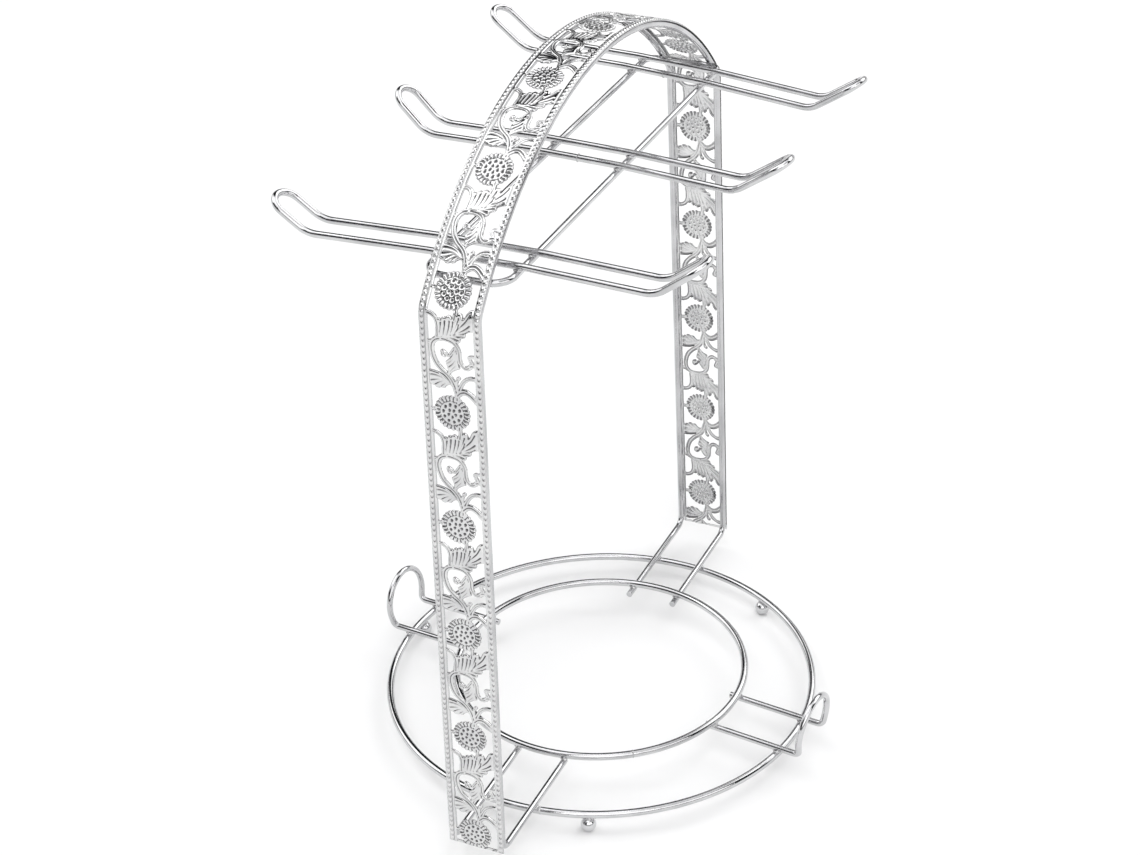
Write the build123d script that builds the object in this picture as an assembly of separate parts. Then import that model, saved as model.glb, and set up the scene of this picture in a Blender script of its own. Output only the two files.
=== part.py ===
from build123d import *

import math
import os

# Mug tree: a chrome-plated wire rack with an arched frame over two base rings.
# Units are millimetres. The origin is on the table, at the centre of the base rings.
# +Z is up, +Y runs from the front leg to the rear leg, and the mug hooks lie along X.
# Every piece is welded to its neighbours, so nothing moves.

# ---------------------------------------------------------------- driving dimensions
RING_WIRE = 3.5  # wire diameter of the two base rings
FRAME_WIRE = 3.0  # wire diameter of rails, carrier, hooks and retainers

BALL_DIAMETER = 7.0
BALL_FLAT_DEPTH = 0.25  # height of the cap missing from the underside of each ball
BALL_ANGLES = {"front": -69.7, "rear": 60.2, "left": 174.5}  # degrees round the ring from +X

OUTER_RING_RADIUS = 100.0  # to the centre of the wire
INNER_RING_RADIUS = 68.2

RAIL_SPACING = 23.0  # between the centre lines of the two rails
FOOT_REACH = 132.1  # from the centre of the base to the bend of each leg
SHOULDER_REACH = 124.3  # the legs lean in a little towards the shoulders
SHOULDER_HEIGHT = 267.5
CROWN_HEIGHT = 328.0  # top of the arch, at the centre of the rail wire
FOOT_BEND = 5.0  # bend radii are to the centre of the wire
SHOULDER_BEND = 8.0
FRONT_STUB = 67.0  # where the foot wires end, from the centre of the base
REAR_STUB = 62.0

STRIP_WIDTH = 26.0
STRIP_THICKNESS = 1.0
FLOWER_PITCH = 51.8  # length of one repeat of the stamped pattern
FLOWER_DIAMETER = 14.8
STRIP_BORDER = 3.2  # width of the beaded border along each edge
SCROLL_DIAMETER = 20.6
SCROLL_BAND = 3.0
STEM_WIDTH = 2.6
FIRST_FLOWER = 6.9  # from the strip's end at the front foot up to the first flower

CARRIER_WIDTH = 35.3  # between the centre lines of its two long wires
CARRIER_HEIGHT = 276.6
CARRIER_FRONT_BEND = 9.0
CARRIER_REAR_BEND = 4.5

HOOK_PLACES = {"front": (-94.3, 0.0), "middle": (2.7, -3.4), "rear": (96.8, -8.0)}
HOOK_SPACING = 13.0  # between the two parallel wires of a hook
# Left and right ends, bent by hand: reach of the bend, reach of the tip, and the tip's rise.
HOOK_TIPS = {
    "front": ((74.6, 90.5, 9.5), (74.0, 92.9, 12.3)),
    "middle": ((73.0, 88.5, 13.4), (70.4, 92.0, 13.0)),
    "rear": ((73.0, 93.1, 12.2), (73.6, 94.6, 12.5)),
}
HOOK_DROOP = 1.9  # fall of each arm between the carrier and the tip's bend
HOOK_TIP_BEND = 13.0
HOOK_ARM_BEND = 40.0

RETAINER_ANGLES = {"left": 175.4, "right": -6.5}  # degrees: a little off square to the arch
RETAINER_REACHES = {"left": 107.7, "right": 110.1}  # to the bend where the loop turns up
RETAINER_SPACING = 24.6  # between its two radial wires
RETAINER_STUB = 63.0
RETAINER_LOOP_RADIUS = 14.3
RETAINER_LOOP_FLARE = 16.0  # degrees: how far the loop's ends run outwards
RETAINER_LEAN = 5.0  # degrees: how far the loop leans outwards
RETAINER_BEND = 2.8

# ---------------------------------------------------------------- levels and radii that follow
BALL_CENTRE_HEIGHT = BALL_DIAMETER / 2 - BALL_FLAT_DEPTH
OUTER_RING_HEIGHT = BALL_CENTRE_HEIGHT + (BALL_DIAMETER + RING_WIRE) / 2
RADIAL_HEIGHT = OUTER_RING_HEIGHT + (RING_WIRE + FRAME_WIRE) / 2
INNER_RING_HEIGHT = RADIAL_HEIGHT + (RING_WIRE + FRAME_WIRE) / 2
HOOK_HEIGHT = CARRIER_HEIGHT + FRAME_WIRE

ARCH_RISE = CROWN_HEIGHT - SHOULDER_HEIGHT
ARCH_RADIUS = (SHOULDER_REACH**2 + ARCH_RISE**2) / (2 * ARCH_RISE)
ARCH_CENTRE_HEIGHT = CROWN_HEIGHT - ARCH_RADIUS

# The carrier's ends stop one wire diameter short of the centre line of the rails.
CARRIER_RISE = CARRIER_HEIGHT - ARCH_CENTRE_HEIGHT
CARRIER_REACH = math.sqrt((ARCH_RADIUS - FRAME_WIRE) ** 2 - CARRIER_RISE**2)


def wire_piece(path, diameter):
    """A round wire whose centre line is the path."""
    section = Plane(origin=path @ 0, z_dir=path % 0) * Circle(diameter / 2)
    return sweep(section, path=path)


def base_ring(radius, height):
    return Pos(0, 0, height) * Torus(radius, RING_WIRE / 2)


def ball_foot(angle):
    """A ball under the outer ring, with a small flat where it stands on the table."""
    ball = Pos(0, 0, BALL_CENTRE_HEIGHT) * Sphere(BALL_DIAMETER / 2)
    below_table = Pos(0, 0, -BALL_DIAMETER / 2) * Box(BALL_DIAMETER, BALL_DIAMETER, BALL_DIAMETER)
    return Rot(0, 0, angle) * Pos(OUTER_RING_RADIUS, 0, 0) * (ball - below_table)


def arch_points(offset):
    """Leg foot, shoulder and crown of the frame's outline in the YZ plane, moved outwards.

    The shoulder is where the leg's straight line meets the circle of the arch.
    """
    lean = math.atan2(FOOT_REACH - SHOULDER_REACH, SHOULDER_HEIGHT - RADIAL_HEIGHT)
    foot = (FOOT_REACH + offset / math.cos(lean), RADIAL_HEIGHT)
    radius = ARCH_RADIUS + offset
    drop = foot[1] - ARCH_CENTRE_HEIGHT
    half_b = drop * math.cos(lean) - foot[0] * math.sin(lean)
    root = math.sqrt(half_b**2 - (foot[0] ** 2 + drop**2 - radius**2))
    length = root - half_b
    shoulder = (foot[0] - length * math.sin(lean), foot[1] + length * math.cos(lean))
    return foot, shoulder, ARCH_CENTRE_HEIGHT + radius


def rounded_path(edges, corners, radius):
    """Join flat edges into one wire and round it at the listed corners."""
    outline = Wire(edges)
    chosen = []
    for vertex in outline.vertices():
        if any(math.dist((vertex.X, vertex.Y), corner) < 0.01 for corner in corners):
            chosen.append(vertex)
    return outline.fillet_2d(radius, chosen)


def rail(side):
    """One wire from a stub in the base, up a leg, over the arch and down to the other stub."""
    foot, shoulder, crown = arch_points(0)
    front_foot = (-foot[0], foot[1])
    front_shoulder = (-shoulder[0], shoulder[1])
    edges = [
        Line((-FRONT_STUB, RADIAL_HEIGHT), front_foot),
        Line(front_foot, front_shoulder),
        ThreePointArc(front_shoulder, (0, crown), shoulder),
        Line(shoulder, foot),
        Line(foot, (REAR_STUB, RADIAL_HEIGHT)),
    ]
    path = rounded_path(edges, [front_foot, foot], FOOT_BEND)
    path = rounded_path(path.edges(), [front_shoulder, shoulder], SHOULDER_BEND)
    flat_rail = wire_piece(Plane.YZ * path, FRAME_WIRE)
    return Pos(side * RAIL_SPACING / 2, 0, 0) * flat_rail


def window(half_length):
    """The opening between two flowers: borders, scroll, stem and half flowers stay."""
    half_width = STRIP_WIDTH / 2 - STRIP_BORDER
    opening = Rectangle(2 * half_width, 2 * half_length)
    for end in (-1, 1):
        opening -= Pos(0, end * FLOWER_PITCH / 2) * Circle(FLOWER_DIAMETER / 2)
    scroll = Circle(SCROLL_DIAMETER / 2) - Circle(SCROLL_DIAMETER / 2 - SCROLL_BAND)
    stem = Rectangle(STEM_WIDTH, FLOWER_PITCH) - Circle(SCROLL_DIAMETER / 2 - SCROLL_BAND)
    opening -= scroll
    opening -= stem
    for end in (-1, 1):
        opening -= Pos(0, end * FLOWER_PITCH / 2) * Rectangle(STRIP_WIDTH, STEM_WIDTH)
    return extrude(opening, 3 * STRIP_THICKNESS, both=True)


def filigree_strip():
    """The stamped strip on the outside of both rails, from foot to foot."""
    middle = (FRAME_WIRE + STRIP_THICKNESS) / 2
    foot, shoulder, crown = arch_points(middle)
    front_foot = (-foot[0], foot[1])
    front_shoulder = (-shoulder[0], shoulder[1])
    edges = [
        Line(front_foot, front_shoulder),
        ThreePointArc(front_shoulder, (0, crown), shoulder),
        Line(shoulder, foot),
    ]
    path = Plane.YZ * rounded_path(edges, [front_shoulder, shoulder], SHOULDER_BEND + middle)
    start = Plane(origin=path @ 0, x_dir=(1, 0, 0), z_dir=path % 0)
    strip = sweep(start * Rectangle(STRIP_WIDTH, STRIP_THICKNESS), path=path)

    # A window is cut wherever a whole repeat of the pattern lies on a leg or on the arch.
    cutter = window(FLOWER_PITCH / 2)
    lean = math.atan2(foot[0] - shoulder[0], shoulder[1] - foot[1])
    leg_length = math.dist(foot, shoulder)
    half_arch = math.atan2(shoulder[0], shoulder[1] - ARCH_CENTRE_HEIGHT)
    arch_end = leg_length + 2 * half_arch * (ARCH_RADIUS + middle)
    length = arch_end + leg_length
    for repeat in range(int(length / FLOWER_PITCH)):
        start = FIRST_FLOWER + repeat * FLOWER_PITCH
        end = start + FLOWER_PITCH
        along = (start + end) / 2
        if end < leg_length or arch_end < start and end < length:
            side = -1 if end < leg_length else 1
            climb = min(along, length - along)
            reach = foot[0] - climb * math.sin(lean)
            height = foot[1] + climb * math.cos(lean)
            strip -= Pos(0, side * reach, height) * Rot(90 + side * math.degrees(lean), 0, 0) * cutter
        elif leg_length < start and end < arch_end:
            turn = half_arch - (along - leg_length) / (ARCH_RADIUS + middle)
            arch_place = Pos(0, 0, ARCH_CENTRE_HEIGHT) * Rot(math.degrees(turn), 0, 0)
            strip -= arch_place * Pos(0, 0, ARCH_RADIUS + middle) * cutter
    return strip


def hook_carrier():
    """Closed level loop inside the arch, round at the front and squarer at the rear."""
    side = CARRIER_WIDTH / 2
    path = FilletPolyline(
        (side, 0, CARRIER_HEIGHT),
        (side, CARRIER_REACH, CARRIER_HEIGHT),
        (-side, CARRIER_REACH, CARRIER_HEIGHT),
        (-side, -CARRIER_REACH, CARRIER_HEIGHT),
        (side, -CARRIER_REACH, CARRIER_HEIGHT),
        (side, -1, CARRIER_HEIGHT),
        radius=[CARRIER_REAR_BEND, CARRIER_REAR_BEND, CARRIER_FRONT_BEND, CARRIER_FRONT_BEND],
    )
    closing = Line(path @ 1, path @ 0)
    return wire_piece(Wire([*path.edges(), *closing.edges()]), FRAME_WIRE)


def mug_hook(y, turn, tips):
    """Closed narrow loop across the carrier, with both of its rounded ends turned up."""
    half = HOOK_SPACING / 2
    rest = CARRIER_WIDTH / 2 + FRAME_WIRE
    (left_bend, left_tip, left_rise), (right_bend, right_tip, right_rise) = tips
    profile = [
        (-left_tip, left_rise),
        (-left_bend, -HOOK_DROOP),
        (-rest, 0),
        (rest, 0),
        (right_bend, -HOOK_DROOP),
        (right_tip, right_rise),
    ]
    near = [(x, -half, z) for x, z in profile]
    far = [(x, half, z) for x, z in reversed(profile)]
    side_bends = [HOOK_TIP_BEND, HOOK_ARM_BEND, HOOK_ARM_BEND, HOOK_TIP_BEND]
    end_bend = half - 0.05
    path = FilletPolyline(
        (0, -half, 0),
        *near[3:],
        *far,
        *near[:3],
        (-1, -half, 0),
        radius=[*side_bends[2:], end_bend, end_bend, *side_bends, end_bend, end_bend, *side_bends[:2]],
    )
    closing = Line(path @ 1, path @ 0)
    loop = wire_piece(Wire([*path.edges(), *closing.edges()]), FRAME_WIRE)
    return Pos(0, y, HOOK_HEIGHT) * Rot(0, 0, turn) * loop


def saucer_retainer(angle, reach):
    """Two radial wires whose outer ends turn up into one leaning horseshoe loop."""
    half = RETAINER_SPACING / 2
    flare = math.radians(RETAINER_LOOP_FLARE)
    lean = math.radians(RETAINER_LEAN)
    loop_side = RETAINER_LOOP_RADIUS * math.cos(flare)
    loop_start = (loop_side - half) / math.tan(flare)
    loop_top = loop_start + RETAINER_LOOP_RADIUS * (1 + math.sin(flare))

    def loop_point(y, up):
        return (reach + up * math.sin(lean), y, RADIAL_HEIGHT + up * math.cos(lean))

    def radial_wire(side):
        points = [
            (RETAINER_STUB, side * half, RADIAL_HEIGHT),
            loop_point(side * half, 0),
            loop_point(side * loop_side, loop_start),
        ]
        return FilletPolyline(*points, radius=RETAINER_BEND)

    loop = ThreePointArc(
        loop_point(-loop_side, loop_start),
        loop_point(0, loop_top),
        loop_point(loop_side, loop_start),
    )
    path = Wire([*radial_wire(-1).edges(), *loop.edges(), *radial_wire(1).edges()])
    return Rot(0, 0, angle) * wire_piece(path, FRAME_WIRE)


parts = {
    "outer_ring": base_ring(OUTER_RING_RADIUS, OUTER_RING_HEIGHT),
    "inner_ring": base_ring(INNER_RING_RADIUS, INNER_RING_HEIGHT),
    "left_rail": rail(-1),
    "right_rail": rail(1),
    "filigree_strip": filigree_strip(),
    "hook_carrier": hook_carrier(),
}
for place, (hook_y, hook_turn) in HOOK_PLACES.items():
    parts[f"{place}_hook"] = mug_hook(hook_y, hook_turn, HOOK_TIPS[place])
for place, retainer_angle in RETAINER_ANGLES.items():
    parts[f"{place}_retainer"] = saucer_retainer(retainer_angle, RETAINER_REACHES[place])
for place, ball_angle in BALL_ANGLES.items():
    parts[f"{place}_ball_foot"] = ball_foot(ball_angle)

os.makedirs("parts", exist_ok=True)
for name, part in parts.items():
    export_step(part, f"parts/{name}.step")
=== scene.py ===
import math

import bmesh
import bpy
import numpy as np
from mathutils import Matrix, Vector


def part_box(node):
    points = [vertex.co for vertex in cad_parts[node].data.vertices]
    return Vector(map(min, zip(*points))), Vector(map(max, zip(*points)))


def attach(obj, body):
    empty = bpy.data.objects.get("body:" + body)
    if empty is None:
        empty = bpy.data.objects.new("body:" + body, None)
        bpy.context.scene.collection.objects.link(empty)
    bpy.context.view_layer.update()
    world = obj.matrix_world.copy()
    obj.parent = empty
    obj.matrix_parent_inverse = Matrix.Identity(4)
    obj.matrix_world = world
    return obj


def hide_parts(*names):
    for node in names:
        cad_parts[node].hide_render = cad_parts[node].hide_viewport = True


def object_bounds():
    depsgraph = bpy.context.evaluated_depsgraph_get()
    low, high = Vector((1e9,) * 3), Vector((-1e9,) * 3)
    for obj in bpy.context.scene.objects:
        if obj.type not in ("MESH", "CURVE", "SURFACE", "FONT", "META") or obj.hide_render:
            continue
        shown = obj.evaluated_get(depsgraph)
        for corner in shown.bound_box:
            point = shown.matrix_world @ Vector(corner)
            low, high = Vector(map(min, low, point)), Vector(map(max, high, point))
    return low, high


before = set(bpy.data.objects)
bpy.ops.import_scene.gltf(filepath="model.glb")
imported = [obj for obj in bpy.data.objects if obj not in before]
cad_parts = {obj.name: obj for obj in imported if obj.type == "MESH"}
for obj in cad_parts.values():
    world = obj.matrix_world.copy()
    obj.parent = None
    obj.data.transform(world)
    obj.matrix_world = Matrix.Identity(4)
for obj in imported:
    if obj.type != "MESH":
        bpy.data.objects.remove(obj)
cad_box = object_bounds()

MM = 0.001
TINY = 1e-9

# ---------------------------------------------------------------- sizes shared with the CAD model, in mm
HALF_WIDTH = 13.0  # half the strip's width
FOOT_REACH = 132.1  # the strip's lower ends, on the centre line of the rail wires
FOOT_HEIGHT = 11.75
SHOULDER_REACH = 124.3
SHOULDER_HEIGHT = 267.5
CROWN_HEIGHT = 328.0
SHOULDER_BEND = 8.0
WIRE = 3.0
RING_WIRE = 3.5
STRIP_MIDDLE = 2.0  # middle of the strip, outwards from the centre of the rail wires
FLOWER_PITCH = 51.8  # length of one repeat of the pattern
FIRST_FLOWER = 6.9  # from the strip's front end to the middle of the first flower

# ---------------------------------------------------------------- the stamped sheet, in mm
SHEET_BACK = -0.5  # back of the flat sheet, from the strip's middle
SHEET_GAUGE = 0.32
LEAST_GAUGE = 0.16
RELIEF = 0.68  # most that the pattern rises above the flat sheet
BACK_RELIEF = 0.95  # share of the relief that shows on the back
LIP_DROP, LIP_WIDTH = 0.13, 0.34  # the rounded edge of every opening
STRIP_PIECES = 6
COLUMNS = 90  # grid cells across the strip
GRID_MARGIN = 0.3  # grid outside the strip's edges
ROWS_PER_PITCH = 176
LEAST_SOLID = 0.02  # no grid point lies nearer to an opening's edge
END_GAP = 1e-4  # step to the empty row that closes each end of a piece
SHARP_ANGLE = 60.0
END_BAND, END_HEIGHT = 1.2, 0.25  # the unpierced band across each end of the strip

# ---------------------------------------------------------------- heights and widths of the relief, in mm
BEAD_PITCH = FLOWER_PITCH / 20
BEAD_LINES = (11.55, 11.8)  # left and right, from the strip's middle
BEAD_HALF_WIDTH, BEAD_HALF_LENGTH, BEAD_HEIGHT = 0.75, 0.46 * BEAD_PITCH, 0.52
BORDER_INNERS = (9.4, 10.15)  # left and right inner edges of the borders
BORDER_BASE = 0.05  # height of a border between its beads
RIDGE_INSET, RIDGE_HALF_WIDTH, RIDGE_HEIGHT = 0.45, 0.42, 0.26  # along the border's inner edge
LEAF_BASE, LEAF_SWELL, LEAF_RIM = 0.12, 0.50, 0.60  # height at the edge, rise inside it, width of the rise
VEIN_WIDTH = 0.32
VEIN_FADE = 0.75  # share of a vein's depth that is lost by its inner end
STEM_BASE, STEM_SWELL = 0.04, 0.60  # height at a stem's edge, and rise to its middle
STEM_BLEND = 0.12  # width of a stem's edge that doesn't cover what lies under it
GROOVE_DEPTH, GROOVE_WIDTH = 0.46, 0.30  # along the middle of each broad stem
BROAD_STEM = 0.75  # half width from which a stem has a groove
FLOWER_U = -0.4
FLOWER_RADIUS = 7.75
FLOWER_RIM = 5.1  # where the lobes of the rim begin
LOBES, LOBE_CUT, LOBE_HEIGHT = 24, 0.55, 0.66  # how many, and how deep the gaps between them are
LOBE_MARGIN = 0.3  # a lobe's relief ends this far outside the flower
DOME_BASE, DOME_SWELL = 0.36, 0.20  # the flower's middle, which the pits are cut into
PIT_DEPTH, PIT_TURN = 0.70, 0.3
PIT_RINGS = [  # radius of the ring, pits in it, radial and sideways size of a pit
    (3.75, 10, 0.62, 0.62),
    (1.55, 5, 0.62, 0.50),
]

# ---------------------------------------------------------------- painted shade of the sheet's recesses, darkening their colour
SOFTENING = 0.4  # share of the blurred relief in the final one
SHADE_BLUR = 8  # passes; a recess is what lies below the blurred relief
FRONT_GAIN, BACK_GAIN = 6.5, 5
BORDER_SHADE, BACK_SHADE = 0.55, 0.7
BORDER_FROM = 9.3


# ================================================================ pattern of one repeat
def closed_curve(points):
    """Signed distance from a closed outline, positive inside, on the pattern grid."""
    p = np.array(points, float)
    q = np.roll(p, -1, 0)
    best = np.full(GU.shape, np.inf)
    inside = np.zeros(GU.shape, bool)
    for (ax, ay), (bx, by) in zip(p, q):
        dx, dy = bx - ax, by - ay
        t = np.clip(((GU - ax) * dx + (GV - ay) * dy) / (dx * dx + dy * dy), 0, 1)
        best = np.minimum(best, (GU - ax - t * dx) ** 2 + (GV - ay - t * dy) ** 2)
        crosses = (ay > GV) != (by > GV)
        inside ^= crosses & (GU < ax + (GV - ay) * dx / (dy or TINY))
    return np.where(inside, 1, -1) * np.sqrt(best)


def smooth_line(points, steps=6):
    """A smooth curve through the points (Catmull-Rom), as rows of u, v and half width."""
    p = np.array(points, float)
    p = np.vstack([2 * p[0] - p[1], p, 2 * p[-1] - p[-2]])
    rows = []
    for a, b, c, d in zip(p, p[1:], p[2:], p[3:]):
        for t in np.arange(steps) / steps:
            rows.append(0.5 * (2 * b + (c - a) * t + (2 * a - 5 * b + 4 * c - d) * t**2
                               + (3 * b - a - 3 * c + d) * t**3))
    rows.append(p[-2])
    return np.array(rows)


def along_line(points):
    """Distance from a smooth line, and the third value of its points at the nearest place on it."""
    line = smooth_line(points)
    best = np.full(GU.shape, np.inf)
    half = np.zeros(GU.shape)
    for a, b in zip(line, line[1:]):
        dx, dy = b[0] - a[0], b[1] - a[1]
        t = np.clip(((GU - a[0]) * dx + (GV - a[1]) * dy) / max(dx * dx + dy * dy, TINY), 0, 1)
        d = np.hypot(GU - a[0] - t * dx, GV - a[1] - t * dy)
        nearer = d < best
        best = np.where(nearer, d, best)
        half = np.where(nearer, a[2] + t * (b[2] - a[2]), half)
    return best, half


def rise(x, width):
    """From 0 at x = 0 to 1 at x = width, level at both ends."""
    t = np.clip(x / width, 0, 1)
    return t * t * (3 - 2 * t)


def hump(offset, half_width):
    """Height of a round bead or ridge of height 1, at an offset from its middle."""
    return np.sqrt(np.clip(1 - (offset / half_width) ** 2, 0, 1))


# u runs across the strip, v runs along it from the middle of one flower to the next.
v_axis = np.arange(ROWS_PER_PITCH) * FLOWER_PITCH / ROWS_PER_PITCH
u_axis = np.linspace(-HALF_WIDTH - GRID_MARGIN, HALF_WIDTH + GRID_MARGIN, COLUMNS + 1)
GU, GV = np.meshgrid(u_axis, v_axis)

STEMS = [
    # each point is u, v and half the width
    [(-10.4, 9.6, 1.1), (-7.9, 9.9, 1.0), (-6.1, 11.0, 1.0), (-5.2, 12.8, 1.0), (-4.9, 15.0, 1.0),
     (-5.2, 19.2, 1.0)],
    [(-10.4, 22.3, 0.5), (-8.6, 22.0, 1.0), (-7.2, 22.2, 1.0)],
    [(-3.2, 19.8, 1.1), (-5.8, 20.5, 1.15), (-7.5, 22.4, 1.2), (-7.9, 25.0, 1.2), (-7.4, 28.0, 1.2),
     (-6.2, 30.8, 1.2), (-4.1, 33.2, 1.15), (-1.9, 34.9, 1.1), (-0.4, 36.4, 1.1), (0.8, 38.4, 1.1),
     (1.6, 40.8, 1.1), (2.0, 43.2, 1.1), (2.1, 45.6, 1.1)],
    [(-3.2, 19.8, 1.1), (-0.9, 20.0, 1.05), (1.2, 20.7, 1.0), (2.8, 22.2, 1.0), (3.7, 24.2, 0.95),
     (3.9, 26.5, 0.95), (4.1, 28.6, 0.95), (4.9, 30.1, 1.0), (6.3, 31.0, 1.05), (8.0, 30.4, 1.05),
     (9.0, 28.9, 1.0), (8.4, 27.3, 0.85), (8.0, 26.2, 0.8), (8.9, 25.6, 0.75), (10.3, 25.7, 0.8)],
    [(8.2, 29.8, 0.8), (9.4, 29.4, 0.9), (10.4, 29.6, 1.0)],
    [(-2.5, 27.3, 0.6), (-3.5, 26.7, 0.75), (-3.3, 25.2, 0.8), (-2.0, 25.5, 0.6), (-1.3, 26.7, 0.7),
     (-0.2, 26.4, 0.75), (0.8, 25.0, 0.8), (1.8, 23.6, 0.85)],
    [(3.1, 41.0, 0.9), (4.0, 39.2, 0.9), (5.1, 37.3, 0.9), (6.6, 35.9, 0.95), (8.3, 35.2, 1.0),
     (10.4, 35.2, 1.1)],
    [(2.3, 43.6, 1.1), (4.0, 42.0, 1.35), (5.8, 41.6, 1.4), (7.5, 42.3, 1.4), (9.0, 43.5, 1.4),
     (10.4, 44.9, 1.5)],
    [(3.2, 35.9, 0.85), (2.7, 36.4, 0.8), (2.2, 38.2, 0.6), (2.2, 41.0, 0.6)],
    [(2.4, 5.8, 0.9), (2.6, 8.5, 0.9), (2.4, 11.0, 1.0)],
    [(-10.3, -0.6, 0.9), (-7.4, -0.3, 0.8)],
    [(-10.3, 51.2, 0.9), (-7.4, 51.5, 0.8)],
]
FAN = [(-5.2, 12.4), (-4.6, 11.4), (-3.8, 11.2), (-3.2, 11.6), (-2.9, 10.6), (-2.1, 10.1), (-1.3, 10.5),
       (-1.0, 10.0), (-0.2, 9.4), (0.8, 9.6), (1.5, 10.2), (3.3, 9.0), (3.9, 7.9), (4.9, 7.8), (5.7, 8.4),
       (6.1, 9.8), (6.6, 9.5), (7.2, 8.0), (7.9, 6.9), (8.9, 6.0), (10.4, 5.6), (10.4, 14.8), (8.9, 15.2),
       (7.6, 15.8), (6.9, 16.2), (7.0, 17.2), (6.4, 18.2), (5.3, 18.5), (4.7, 18.9), (4.6, 20.0),
       (3.8, 20.8), (2.6, 20.8), (1.0, 20.0), (-1.0, 19.6), (-3.0, 19.6), (-5.6, 20.2), (-5.4, 17.0)]
FAN_VEINS = [
    [(-3.3, 12.9), (-3.6, 15.0), (-3.9, 18.4)],
    [(-1.5, 12.0), (-1.8, 14.6), (-2.4, 18.0)],
    [(0.4, 11.8), (0.1, 14.4), (-0.9, 18.0)],
    [(1.9, 11.6), (1.6, 14.0), (0.5, 17.6)],
    [(4.4, 10.1), (3.6, 12.4), (1.9, 16.4)],
    [(4.3, 12.6), (3.6, 14.6), (2.0, 17.0)],
    [(8.9, 8.0), (7.2, 11.0), (4.6, 13.9), (2.6, 16.6)],
    [(8.9, 12.4), (6.6, 14.4), (4.2, 15.9), (2.0, 17.3)],
    [(8.8, 14.5), (6.3, 15.9), (3.6, 17.0), (0.6, 17.7)],
    [(6.2, 17.5), (3.6, 17.7), (0.8, 18.2)],
    [(4.0, 19.5), (2.0, 18.9), (-0.4, 18.7)],
]
BUD = [(-2.3, 29.5), (-1.0, 28.3), (0.2, 27.2), (1.0, 25.8), (1.5, 24.2), (2.6, 23.6), (3.4, 25.6),
       (3.5, 28.0), (3.6, 30.4), (4.0, 31.8), (2.2, 32.6), (0.6, 33.7), (-0.4, 34.9), (-1.4, 34.3),
       (-1.5, 32.2), (-1.9, 31.0)]
BUD_VEINS = [
    [(-1.4, 29.8), (0.4, 28.6), (2.0, 26.0)],
    [(-0.9, 31.6), (0.9, 30.0), (2.2, 28.0)],
    [(-0.4, 33.6), (0.9, 32.0), (2.5, 30.2)],
]
LEAF = [(-10.4, 34.3), (-8.2, 34.1), (-5.2, 34.6), (-3.0, 35.6), (-1.0, 37.2), (0.2, 39.0), (0.9, 41.0),
        (0.6, 42.4), (0.1, 40.4), (-0.4, 39.6), (-1.2, 39.6), (-2.3, 40.3), (-3.0, 41.3), (-4.0, 41.5),
        (-4.6, 41.2), (-5.6, 41.8), (-6.8, 41.7), (-7.4, 41.0), (-8.4, 40.9), (-9.0, 40.4), (-10.4, 40.6)]
LEAF_VEINS = [
    [(-9.6, 36.2), (-7.4, 35.9), (-4.8, 36.3), (-2.4, 37.3), (-0.6, 38.9)],
    [(-9.0, 38.6), (-6.8, 38.0), (-4.2, 37.4)],
    [(-7.2, 40.3), (-5.4, 39.0), (-3.4, 38.0)],
    [(-4.4, 40.6), (-3.2, 39.5), (-1.9, 38.6)],
]
LEAVES = [(FAN, FAN_VEINS, 0.56), (BUD, BUD_VEINS, 0.36), (LEAF, LEAF_VEINS, 0.36)]  # with the veins' depth


def leaf_height(inset, veins, depth):
    """Height of a leaf: rounded rim, and veins that are deepest at its edge and fade towards its stem."""
    height = LEAF_BASE + LEAF_SWELL * rise(inset, LEAF_RIM)
    for vein in veins:
        last = len(vein) - 1
        d, fade = along_line([(u, v, 1 - VEIN_FADE * k / last) for k, (u, v) in enumerate(vein)])
        height = height - depth * fade * np.exp(-((d / VEIN_WIDTH) ** 2))
    return height


def flower():
    """Signed distance and height of the flower at both ends of the repeat."""
    solid = np.full(GU.shape, -np.inf)
    height = np.zeros(GU.shape)
    for centre in (0.0, FLOWER_PITCH):
        du, dv = GU - FLOWER_U, GV - centre
        radius, angle = np.hypot(du, dv), np.arctan2(dv, du)
        lobe = np.abs(2 * ((angle * LOBES / (2 * math.pi) + 0.5) % 1 - 0.5))
        here = FLOWER_RADIUS - LOBE_CUT * lobe ** 3 - radius
        along = np.clip((radius - FLOWER_RIM) / (FLOWER_RADIUS + LOBE_MARGIN - FLOWER_RIM), 0, 1)
        rim = LOBE_HEIGHT * (1 - lobe ** 2.2) * (1 - (2 * along - 1) ** 4)
        dome = DOME_BASE + DOME_SWELL * hump(radius, FLOWER_RIM)
        for ring, count, deep, wide in PIT_RINGS:
            pitch = 2 * math.pi * ring / count
            off = ((angle * count / (2 * math.pi) + PIT_TURN) % 1 - 0.5) * pitch
            dome = dome - PIT_DEPTH * np.exp(-(((radius - ring) / deep) ** 2) - (off / wide) ** 2)
        dome = np.where(radius > FLOWER_RIM, rim, np.maximum(dome, 0.0))
        height = np.where(here > solid, dome, height)
        solid = np.maximum(solid, here)
    return solid, height


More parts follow.
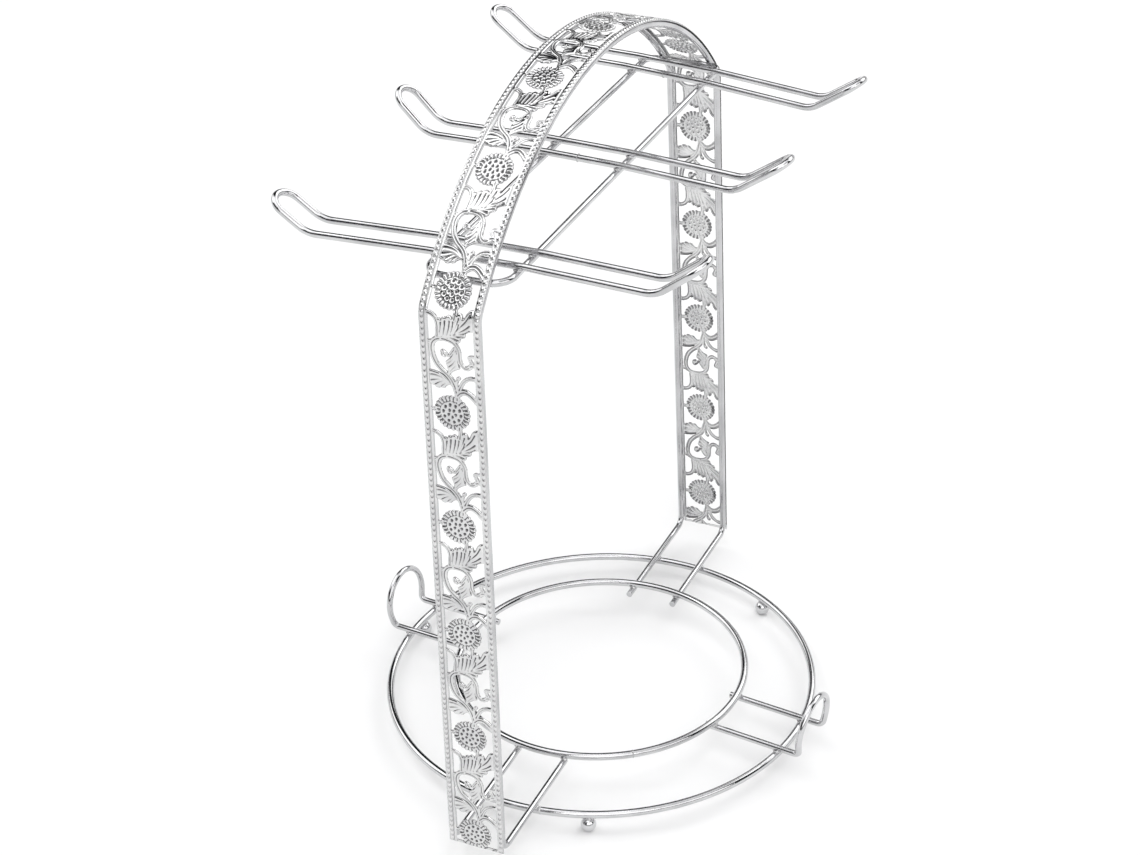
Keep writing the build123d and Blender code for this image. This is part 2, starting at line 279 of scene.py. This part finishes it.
def pattern():
    """Signed distance of the pierced sheet and height of its relief for one repeat."""
    solid, height = flower()
    height = np.where(solid > 0, height, 0.0)
    for outline, veins, depth in LEAVES:
        here = closed_curve(outline)
        shape = leaf_height(here, veins, depth)
        higher = np.where(solid > 0, np.maximum(height, shape), shape)
        height = np.where(here > 0, higher, height)
        solid = np.maximum(solid, here)
    for stem in STEMS:
        d, half = along_line(stem)
        here = half - d
        groove = GROOVE_DEPTH * np.exp(-((d / GROOVE_WIDTH) ** 2)) * (half > BROAD_STEM)
        shape = STEM_BASE + STEM_SWELL * hump(d, half) - groove
        higher = np.where(here > STEM_BLEND, shape, np.maximum(height, shape))
        height = np.where(here > 0, higher, height)
        solid = np.maximum(solid, here)
    left = GU < 0
    across = np.abs(GU)
    inner_edge = np.where(left, *BORDER_INNERS)
    bead_line = np.where(left, *BEAD_LINES)
    border = np.minimum(HALF_WIDTH - across, across - inner_edge)
    along = (GV + BEAD_PITCH / 2) % BEAD_PITCH - BEAD_PITCH / 2
    bead = hump(np.hypot((across - bead_line) / BEAD_HALF_WIDTH, along / BEAD_HALF_LENGTH), 1)
    ridge = hump(across - inner_edge - RIDGE_INSET, RIDGE_HALF_WIDTH)
    shape = BORDER_BASE + np.maximum(BEAD_HEIGHT * bead, RIDGE_HEIGHT * ridge)
    height = np.where(border > 0, shape, height)
    solid = np.maximum(solid, border)
    return solid, np.clip(height, 0.0, RELIEF)


# ================================================================ the strip's path
def strip_path():
    """Straight legs, two bends and the arch, as its length and a function of the distance along it."""
    rise_to_crown = CROWN_HEIGHT - SHOULDER_HEIGHT
    arch_radius = (SHOULDER_REACH**2 + rise_to_crown**2) / (2 * rise_to_crown)
    centre = CROWN_HEIGHT - arch_radius
    lean = math.atan2(FOOT_REACH - SHOULDER_REACH, SHOULDER_HEIGHT - FOOT_HEIGHT)
    radius = arch_radius + STRIP_MIDDLE
    bend = SHOULDER_BEND + STRIP_MIDDLE
    foot = np.array([FOOT_REACH + STRIP_MIDDLE / math.cos(lean), FOOT_HEIGHT])
    up = np.array([-math.sin(lean), math.cos(lean)])
    inward = np.array([-math.cos(lean), -math.sin(lean)])
    # the bend's centre is one bend radius inside the leg and inside the arch
    start = foot + bend * inward - np.array([0, centre])
    half_b = start @ up
    length = -half_b + math.sqrt(half_b**2 - (start @ start - (radius - bend) ** 2))
    bend_centre = foot + bend * inward + length * up
    leg_end = foot + length * up
    join = (bend_centre - np.array([0, centre])) / (radius - bend)
    join_angle = math.atan2(join[0], join[1])
    leg_angle = math.atan2(-inward[0], -inward[1])
    bend_length = bend * (leg_angle - join_angle)
    half_arch = radius * join_angle
    half = length + bend_length + half_arch

    def place(s):
        """Position (y, z) and outward normal at distance s from the front foot."""
        s = np.asarray(s, float)
        side = np.where(s <= half, -1.0, 1.0)
        t = np.where(s <= half, s, 2 * half - s)
        angle = np.where(t < length, leg_angle,
                         np.where(t < length + bend_length, leg_angle - (t - length) / bend,
                                  np.maximum(half - t, 0) / radius))
        y = np.where(t < length, foot[0] + t * up[0],
                     np.where(t < length + bend_length, bend_centre[0] + bend * np.sin(angle),
                              radius * np.sin(angle)))
        z = np.where(t < length, foot[1] + t * up[1],
                     np.where(t < length + bend_length, bend_centre[1] + bend * np.cos(angle),
                              centre + radius * np.cos(angle)))
        return side * y, z, side * np.sin(angle), np.cos(angle)

    return 2 * half, place


# ================================================================ pierced sheet from a signed distance
CORNERS = ((0, 0), (0, 1), (1, 1), (1, 0))  # row and column steps to a cell's corners, going round
EDGES = (("h", 0, 0), ("v", 0, 1), ("h", 1, 0), ("v", 0, 0))  # the edge after each corner: kind and steps
OPPOSITE_CORNERS = (5, 10)


def cell_outlines():
    """For each pattern of solid corners: its polygons, and the open edges that need a wall."""
    table = {}
    for case in range(1, 16):
        inside = [bool(case >> k & 1) for k in range(4)]
        if case in OPPOSITE_CORNERS:  # two separate triangles
            polygons = [[("corner", k), ("edge", k), ("edge", (k - 1) % 4)] for k in range(4) if inside[k]]
        else:
            ring = []
            for k in range(4):
                if inside[k]:
                    ring.append(("corner", k))
                if inside[k] != inside[(k + 1) % 4]:
                    ring.append(("edge", k))
            polygons = [ring]
        walls = [(a, b) for polygon in polygons for a, b in zip(polygon, polygon[1:] + polygon[:1])
                 if a[0] == b[0] == "edge"]
        table[case] = (polygons, walls)
    return table


def linked(name, data):
    """A new object in the scene."""
    made = bpy.data.objects.new(name, data)
    bpy.context.scene.collection.objects.link(made)
    return made


def sheet_points(solid, fields):
    """Points of the sheet's grid, and the number of the point at each corner and crossed edge."""
    flag = solid > 0
    index, points, start = {}, [], 0
    masks = {"corner": flag, "h": flag[:, :-1] != flag[:, 1:], "v": flag[:-1] != flag[1:]}
    for kind, mask in masks.items():
        index[kind] = np.full(mask.shape, -1)
        index[kind][mask] = start + np.arange(mask.sum())
        start += int(mask.sum())
        if kind == "corner":
            columns = [f[mask] for f in fields] + [solid[mask]]
        else:
            whole, head, tail = slice(None), slice(None, -1), slice(1, None)
            near, far = ((whole, head), (whole, tail)) if kind == "h" else ((head, whole), (tail, whole))
            a, b = solid[near][mask], solid[far][mask]
            t = a / (a - b)
            columns = [f[near][mask] * (1 - t) + f[far][mask] * t for f in fields] + [np.zeros_like(t)]
        points.append(np.stack(columns, 1))
    return flag, index, np.vstack(points)


def build_sheet(name, rows, s_values, solid, relief, place):
    """Closed mesh of some rows of the strip; relief is its height and the painted shade of its front and
    back.
    """
    solid = solid[rows]
    solid = np.where(np.abs(solid) < LEAST_SOLID, np.where(solid > 0, LEAST_SOLID, -LEAST_SOLID), solid)
    solid = np.pad(solid, ((1, 1), (0, 0)), constant_values=-END_GAP)
    relief = [np.pad(field[rows], ((1, 1), (0, 0)), mode="edge") for field in relief]
    s_values = s_values[rows]
    s_values = np.concatenate([[s_values[0] - END_GAP], s_values, [s_values[-1] + END_GAP]])
    grid = np.meshgrid(s_values, u_axis, indexing="ij")
    flag, index, points = sheet_points(solid, (*grid, *relief))
    count = len(points)

    def number(where, j, i):
        """Number of the front point at a corner or edge of the cells in rows j and columns i."""
        kind, k = where
        kind, row, column = (kind, *CORNERS[k]) if kind == "corner" else EDGES[k]
        return index[kind][j + row, i + column]

    case = flag[:-1, :-1] + 2 * flag[:-1, 1:] + 4 * flag[1:, 1:] + 8 * flag[1:, :-1]
    faces = {}
    for code, (polygons, walls) in cell_outlines().items():
        j, i = np.nonzero(case == code)
        if not len(j):
            continue
        for polygon in polygons:
            ring = np.stack([number(corner, j, i) for corner in polygon], 1)
            faces.setdefault(ring.shape[1], []).extend([ring, ring[:, ::-1] + count])
        for a, b in walls:
            a, b = number(a, j, i), number(b, j, i)
            faces.setdefault(4, []).append(np.stack([b, a, a + count, b + count], 1))

    s, u, height, front_shade, back_shade, inset = points.T
    y, z, ny, nz = place(s)
    front = SHEET_BACK + SHEET_GAUGE + height - LIP_DROP * (1 - rise(inset, LIP_WIDTH))
    back = np.minimum(SHEET_BACK + height * BACK_RELIEF, front - LEAST_GAUGE)
    vertices = np.vstack([np.stack([u, y + ny * off, z + nz * off], 1) for off in (front, back)]) * MM

    mesh = bpy.data.meshes.new(name)
    loops = np.concatenate([ring.ravel() for rings in faces.values() for ring in rings])
    sizes = np.concatenate([np.full(sum(map(len, rings)), n) for n, rings in faces.items()])
    starts = np.concatenate([[0], np.cumsum(sizes)[:-1]])
    mesh.vertices.add(len(vertices))
    mesh.vertices.foreach_set("co", vertices.astype(np.float32).ravel())
    mesh.loops.add(len(loops))
    mesh.loops.foreach_set("vertex_index", loops.astype(np.int32))
    mesh.polygons.add(len(sizes))
    mesh.polygons.foreach_set("loop_start", starts.astype(np.int32))
    mesh.polygons.foreach_set("loop_total", sizes.astype(np.int32))
    mesh.update(calc_edges=True)
    mesh.validate()
    mesh.shade_smooth()
    mesh.set_sharp_from_angle(angle=math.radians(SHARP_ANGLE))
    # Painted shade of the recesses, front then back, which the strip's material turns into darker colour.
    layer = mesh.attributes.new("cavity_shade", "FLOAT", "POINT")
    layer.data.foreach_set("value", np.concatenate([front_shade, back_shade]).astype(np.float32))
    return linked(name, mesh)


def blurred(field, passes):
    """A field smoothed along and across the strip."""
    for _ in range(passes):
        for axis in (0, 1):
            field = (np.roll(field, 1, axis) + 2 * field + np.roll(field, -1, axis)) / 4
    return field


def make_strip():
    """The whole strip, as pieces that meet end to end."""
    length, place = strip_path()
    solid, height = pattern()
    height = blurred(height, 1) * SOFTENING + height * (1 - SOFTENING)
    across = np.abs(u_axis)[None, :]
    # Painted shade: the front is darkened where it lies below the blurred relief, the back where the front
    # stands above it.
    sunk = blurred(height, SHADE_BLUR) - height
    front_shade = np.clip(sunk * FRONT_GAIN, 0, 1) * np.where(across > BORDER_FROM, BORDER_SHADE, 1.0)
    back_shade = np.clip(-sunk * BACK_GAIN, 0, 1) * BACK_SHADE

    step = FLOWER_PITCH / ROWS_PER_PITCH
    rows = int(length / step)
    s_values = np.arange(rows + 1) * (length / rows)
    row_of = np.round((FIRST_FLOWER - s_values) / step).astype(int) % ROWS_PER_PITCH
    solid, height, front_shade, back_shade = (f[row_of] for f in (solid, height, front_shade, back_shade))
    band = END_BAND - np.minimum(s_values, length - s_values)[:, None]
    band = np.where(across < HALF_WIDTH, band, -np.inf)
    height = np.where(band > 0, np.maximum(height, END_HEIGHT), height)
    solid = np.maximum(solid, np.minimum(band, HALF_WIDTH - across))
    cuts = np.linspace(0, rows, STRIP_PIECES + 1).astype(int)
    return [build_sheet(f"filigree_{n + 1}", slice(first, last + 1), s_values, solid,
                        (height, front_shade, back_shade), place)
            for n, (first, last) in enumerate(zip(cuts, cuts[1:]))]


# ================================================================ materials
BUMP_DISTANCE = 0.00005
HAZE_DETAIL = 4.0
PIT_SCALE = 1800.0
SPECKLE_SCALE = 1400.0


def feed(tree, target, inputs):
    """Link sockets to a node's inputs, or set their values."""
    for key, value in inputs.items():
        if isinstance(value, bpy.types.NodeSocket):
            tree.links.new(value, target.inputs[key])
        else:
            target.inputs[key].default_value = value


def node(tree, kind, inputs=None, **settings):
    """A new node, with its settings made before its inputs."""
    made = tree.nodes.new(kind)
    for key, value in settings.items():
        setattr(made, key, value)
    feed(tree, made, inputs or {})
    return made


def new_material(name):
    """An empty material: itself, its tree, its shader, and object coordinates."""
    material = bpy.data.materials.new(name)
    material.use_nodes = True
    tree = material.node_tree
    tree.nodes.clear()
    shader = node(tree, "ShaderNodeBsdfPrincipled")
    node(tree, "ShaderNodeOutputMaterial", {"Surface": shader.outputs["BSDF"]})
    return material, tree, shader, node(tree, "ShaderNodeTexCoord").outputs["Object"]


def ramp(tree, source, *stops):
    """A colour ramp from its stops, each a position and a grey or a colour."""
    made = node(tree, "ShaderNodeValToRGB", {"Fac": source})
    band = made.color_ramp
    for element, (position, colour) in zip(band.elements, stops):
        element.position = position
        element.color = (*colour, 1) if isinstance(colour, tuple) else (colour, colour, colour, 1)
    return made.outputs["Color"]


def noise(tree, vector, scale, detail, roughness=0.5):
    inputs = {"Vector": vector, "Scale": scale, "Detail": detail, "Roughness": roughness}
    return node(tree, "ShaderNodeTexNoise", inputs).outputs["Fac"]


def maths(tree, operation, *values, **settings):
    return node(tree, "ShaderNodeMath", dict(enumerate(values)), operation=operation, **settings).outputs[0]


def remap(tree, value, source, target):
    """A value brought from one range to another."""
    inputs = {"Value": value, "From Min": source[0], "From Max": source[1],
              "To Min": target[0], "To Max": target[1]}
    return node(tree, "ShaderNodeMapRange", inputs).outputs["Result"]


def mix(tree, factor, a, b):
    inputs = {"Factor": factor, "A": a, "B": b}
    return node(tree, "ShaderNodeMix", inputs, data_type="RGBA").outputs["Result"]


def bump(tree, height, strength):
    inputs = {"Height": height, "Strength": strength, "Distance": BUMP_DISTANCE}
    return node(tree, "ShaderNodeBump", inputs).outputs["Normal"]


def chrome(name, tint, dull, rough, grain_scale, grain):
    """Bright plating: hazy patches, fine grain and small pits."""
    material, tree, shader, where = new_material(name)
    haze = noise(tree, where, 60.0, HAZE_DETAIL)
    fine = noise(tree, where, grain_scale, 2.0)
    pits = noise(tree, where, PIT_SCALE, 1.0)
    feed(tree, shader, {
        "Base Color": ramp(tree, haze, (0.30, dull), (0.62, tint)),
        "Metallic": 1.0,
        "Roughness": remap(tree, maths(tree, "MULTIPLY", haze, fine), (0.12, 0.45), rough),
        "Normal": bump(tree, maths(tree, "ADD", pits, fine), grain),
    })
    return material


def stamped_chrome():
    """Plating over the stamped sheet: brighter on the high places, with painted shade darkening the
    hollows' colour; the hollows are also rougher.
    """
    material, tree, shader, where = new_material("stamped_chrome")
    cavity_shade = node(tree, "ShaderNodeAttribute", attribute_name="cavity_shade").outputs["Fac"]
    haze = noise(tree, where, 90.0, HAZE_DETAIL)
    speckle = noise(tree, where, SPECKLE_SCALE, 3.0, 0.6)
    unshaded_tone = ramp(tree, haze, (0.30, (0.62, 0.62, 0.63)), (0.65, 0.76))
    # Painted shade: the recesses' colour is mixed towards near black (0.05), and the same amount makes them
    # rougher.
    recess_shade = remap(tree, cavity_shade, (0.08, 0.80), (0.0, 0.80))
    dulled = maths(tree, "ADD", remap(tree, speckle, (0.3, 0.7), (0.09, 0.20)), recess_shade, use_clamp=True)
    feed(tree, shader, {
        "Base Color": mix(tree, recess_shade, unshaded_tone, (0.05, 0.05, 0.054, 1)),
        "Metallic": 1.0,
        "Roughness": maths(tree, "MULTIPLY", dulled, 0.8),
        "Normal": bump(tree, speckle, 0.18),
    })
    return material


# ================================================================ build
strip_material = stamped_chrome()
for number, piece in enumerate(make_strip()):
    piece.data.materials.append(strip_material)
    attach(piece, "root")
    if number == 0:
        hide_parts("filigree_strip")

# Tint, tint of the dull patches, range of roughness, and scale and strength of the grain.
wire_chrome = chrome("wire_chrome", (0.64, 0.64, 0.65), (0.50, 0.50, 0.51), (0.04, 0.12), 900.0, 0.25)
ball_chrome = chrome("ball_chrome", (0.68, 0.68, 0.69), (0.56, 0.56, 0.57), (0.06, 0.16), 700.0, 0.2)
# Painted shade: the rails get a darker copy of the wire chrome, though they are the same plated wire.
shaded_rail_chrome = chrome("shaded_rail_chrome", (0.60, 0.60, 0.61), (0.45, 0.45, 0.46), (0.05, 0.14), 900.0, 0.25)
weld_chrome = chrome("weld_chrome", (0.60, 0.60, 0.60), (0.36, 0.36, 0.37), (0.16, 0.36), 1500.0, 0.5)
for name, cad_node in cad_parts.items():
    finish = ball_chrome if "ball" in name else shaded_rail_chrome if "rail" in name else wire_chrome
    if name != "filigree_strip":
        for material_slot in cad_node.material_slots:
            material_slot.material = finish

# ---------------------------------------------------------------- welds, in mm and degrees
HOOK_TURNS = {"front_hook": 0.0, "middle_hook": -3.4, "rear_hook": -8.0}
HOOK_HALF_SPACING = 6.5
SPOKES = [(-90.0, 11.5), (90.0, 11.5), (175.4, 12.3), (-6.5, 12.3)]  # direction, and half the spacing
WELD_SINK = 1.6  # from a ring's centre line to the weld under or over it
BALL_WELD_LIFT = 0.1
HOOK_BUTT_ACROSS = -0.4
INNER_BUTT, OUTER_BUTT = -54.2, -82.0  # where each ring's ends are butted together
# Half sizes of the beads.
BASE_BEAD, HOOK_BEAD, BALL_BEAD = (1.9, 1.75, 0.95), (1.7, 1.7, 0.9), (1.7, 1.9, 0.8)
HOOK_BUTT_BEAD, INNER_BUTT_BEAD, OUTER_BUTT_BEAD = (0.6, 1.72, 1.72), (1.95, 0.75, 1.95), (1.95, 0.9, 1.95)
DENT_WAVES, DENT_DEPTH = 7, 0.035
DENT_FREQUENCY, DENT_PHASES = 3.52, 6.28
SEED_STEP = 11


def lump(mesh, centre, radii, turn, seed):
    """One uneven bead of weld: a closed, dented ellipsoid."""
    dents = np.random.default_rng(seed)
    made = bmesh.ops.create_icosphere(mesh, subdivisions=4, radius=1.0)
    waves = [(Vector(dents.normal(size=3)) * DENT_FREQUENCY, dents.uniform(0, DENT_PHASES))
             for _ in range(DENT_WAVES)]
    spin = Matrix.Rotation(math.radians(turn), 3, "Z")
    for vertex in made["verts"]:
        d = vertex.co.normalized()
        swell = 1 + sum(math.sin(wave.dot(d) + phase) for wave, phase in waves) * DENT_DEPTH
        local = Vector(c * r for c, r in zip(d, radii)) * swell
        vertex.co = (Vector(centre) + spin @ local) * MM


def weld_piece(name, beads):
    """All the beads of one kind as one piece, from rows of centre, half sizes and turn."""
    made = bmesh.new()
    for number, (middle, radii, turn) in enumerate(beads):
        lump(made, middle, radii, turn, number + SEED_STEP * len(beads))
    mesh = bpy.data.meshes.new(name)
    made.to_mesh(mesh)
    made.free()
    mesh.shade_smooth()
    mesh.materials.append(weld_chrome)
    piece = linked(name, mesh)
    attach(piece, "root")


def cad_limits(name):
    """Lowest and highest corner of a CAD node, and the middle between them, in mm."""
    low, high = (Vector(corner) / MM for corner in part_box(name))
    return low, high, (low + high) / 2


def ring_line(name):
    """Radius and height of a ring's centre line, in mm."""
    low, high, middle = cad_limits(name)
    return (high.x - low.x - RING_WIRE) / 2, middle.z


def polar(radius, angle, height):
    return radius * math.cos(math.radians(angle)), radius * math.sin(math.radians(angle)), height


outer_radius, outer_height = ring_line("outer_ring")
inner_radius, inner_height = ring_line("inner_ring")
weld_levels = [(outer_radius, outer_height + WELD_SINK), (inner_radius, inner_height - WELD_SINK)]
base_beads = []
for direction, half in SPOKES:
    for radius, level in weld_levels:
        for side in (-half, half):
            angle = direction + math.degrees(math.asin(side / radius))
            base_beads.append((polar(radius, angle, level), BASE_BEAD, direction))
weld_piece("base_welds", base_beads)

carrier_high = cad_limits("hook_carrier")[1]
carrier_half = carrier_high.x - WIRE / 2
hook_beads, butts = [], []
for name, turn in HOOK_TURNS.items():
    along = cad_limits(name)[2].y
    slope = math.tan(math.radians(turn))
    for side in (-carrier_half, carrier_half):
        for half in (-HOOK_HALF_SPACING, HOOK_HALF_SPACING):
            hook_beads.append(((side, along + side * slope + half, carrier_high.z), HOOK_BEAD, turn))
    if turn:
        butt = (HOOK_BUTT_ACROSS, along - HOOK_HALF_SPACING, carrier_high.z + WIRE / 2)
        butts.append((butt, HOOK_BUTT_BEAD, turn))
weld_piece("hook_welds", hook_beads)

ball_beads = []
for name in ("front_ball_foot", "rear_ball_foot", "left_ball_foot"):
    _, high, middle = cad_limits(name)
    place = (middle.x, middle.y, high.z + BALL_WELD_LIFT)
    ball_beads.append((place, BALL_BEAD, math.degrees(math.atan2(middle.y, middle.x))))
weld_piece("ball_welds", ball_beads)

butts.append((polar(inner_radius, INNER_BUTT, inner_height), INNER_BUTT_BEAD, INNER_BUTT))
butts.append((polar(outer_radius, OUTER_BUTT, outer_height), OUTER_BUTT_BEAD, OUTER_BUTT))
weld_piece("wire_joints", butts)

# ---------------------------------------------------------------- floor
FLOOR_RADIUS = 6.0

low, high = (Vector(c) for c in cad_box)
centre = (low + high) / 2
bpy.ops.mesh.primitive_circle_add(vertices=128, radius=FLOOR_RADIUS, fill_type="NGON",
                                  location=(0, 0, low.z))
floor = bpy.context.object
floor.name = "floor"
material, tree, shader, where = new_material("pale_floor")
tone = ramp(tree, noise(tree, where, 3.0, 3.0), (0.3, 0.955), (0.7, 0.98))
feed(tree, shader, {"Base Color": tone, "Roughness": 0.85})
floor.data.materials.append(material)

# ---------------------------------------------------------------- sky of pale panels, and three softboxes
GAP = (0.02, 0.02, 0.022)  # colour between the panels
PANELS, PANEL_TURN = 3.0, 4.97  # panels round the sky, and how far they are turned, in radians
PANEL_LIGHT, HORIZON_LIGHT = 1.68, 0.92
TOP_LIGHT = (0.98, 0.98, 0.99, 1)
SKY_STRENGTH = 1.07

world = bpy.data.worlds.new("studio")
bpy.context.scene.world = world
world.use_nodes = True
tree = world.node_tree
tree.nodes.clear()
direction = node(tree, "ShaderNodeTexCoord").outputs["Generated"]
split = node(tree, "ShaderNodeSeparateXYZ", {0: direction})
height = split.outputs["Z"]
around = maths(tree, "ARCTAN2", split.outputs["Y"], split.outputs["X"])
wave = maths(tree, "SINE", maths(tree, "MULTIPLY_ADD", around, PANELS, PANEL_TURN))
panels = ramp(tree, maths(tree, "MULTIPLY_ADD", wave, 0.5, 0.5), (0.52, GAP), (0.66, PANEL_LIGHT))
horizon = ramp(tree, height, (0.15, HORIZON_LIGHT), (0.21, GAP))
low_sky = mix(tree, ramp(tree, height, (0.28, 0.0), (0.38, 1.0)), horizon, panels)
sky = mix(tree, ramp(tree, height, (0.83, 0.0), (0.88, 1.0)), low_sky, TOP_LIGHT)
background = node(tree, "ShaderNodeBackground", {"Color": sky, "Strength": SKY_STRENGTH})
node(tree, "ShaderNodeOutputWorld", {"Surface": background.outputs[0]})

SOFTBOXES = {  # place from the middle of the object, size and power
    "key": ((-0.7, -0.5, 2.5), (2.6, 2.6), 14.5),
    "fill": ((1.8, -0.6, 1.2), (1.4, 1.4), 9.5),
    "rear": ((0.2, 2.0, 1.5), (1.6, 1.2), 9.5),
}
for name, (place, size, power) in SOFTBOXES.items():
    light = bpy.data.lights.new(name, "AREA")
    light.shape = "RECTANGLE"
    light.size, light.size_y = size
    light.energy = power
    lamp = linked(name, light)
    lamp.location = centre + Vector(place)
    lamp.rotation_euler = (-Vector(place)).to_track_quat("-Z", "Y").to_euler()

# ---------------------------------------------------------------- camera at the photograph's angle
CAMERA_AZIMUTH, CAMERA_ELEVATION, CAMERA_ROLL = map(math.radians, (25.36, 31.26, -2.32))
CAMERA_DISTANCE = 1.0347
CAMERA_TARGET = centre + Vector((-0.00654, -0.01178, -0.01302))

camera_data = bpy.data.cameras.new("camera")
camera_data.sensor_width = 36.0
camera_data.lens = 74.13
camera_data.clip_start, camera_data.clip_end = 0.05, 50.0
camera = linked("camera", camera_data)
outward = Vector((math.sin(CAMERA_AZIMUTH) * math.cos(CAMERA_ELEVATION),
                  -math.cos(CAMERA_AZIMUTH) * math.cos(CAMERA_ELEVATION),
                  math.sin(CAMERA_ELEVATION)))
aim = (-outward).to_track_quat("-Z", "Y").to_matrix().to_4x4()
camera.matrix_world = (Matrix.Translation(CAMERA_TARGET + outward * CAMERA_DISTANCE) @ aim
                       @ Matrix.Rotation(CAMERA_ROLL, 4, "Z"))
bpy.context.scene.camera = camera
bpy.context.scene.view_settings.view_transform = "Standard"
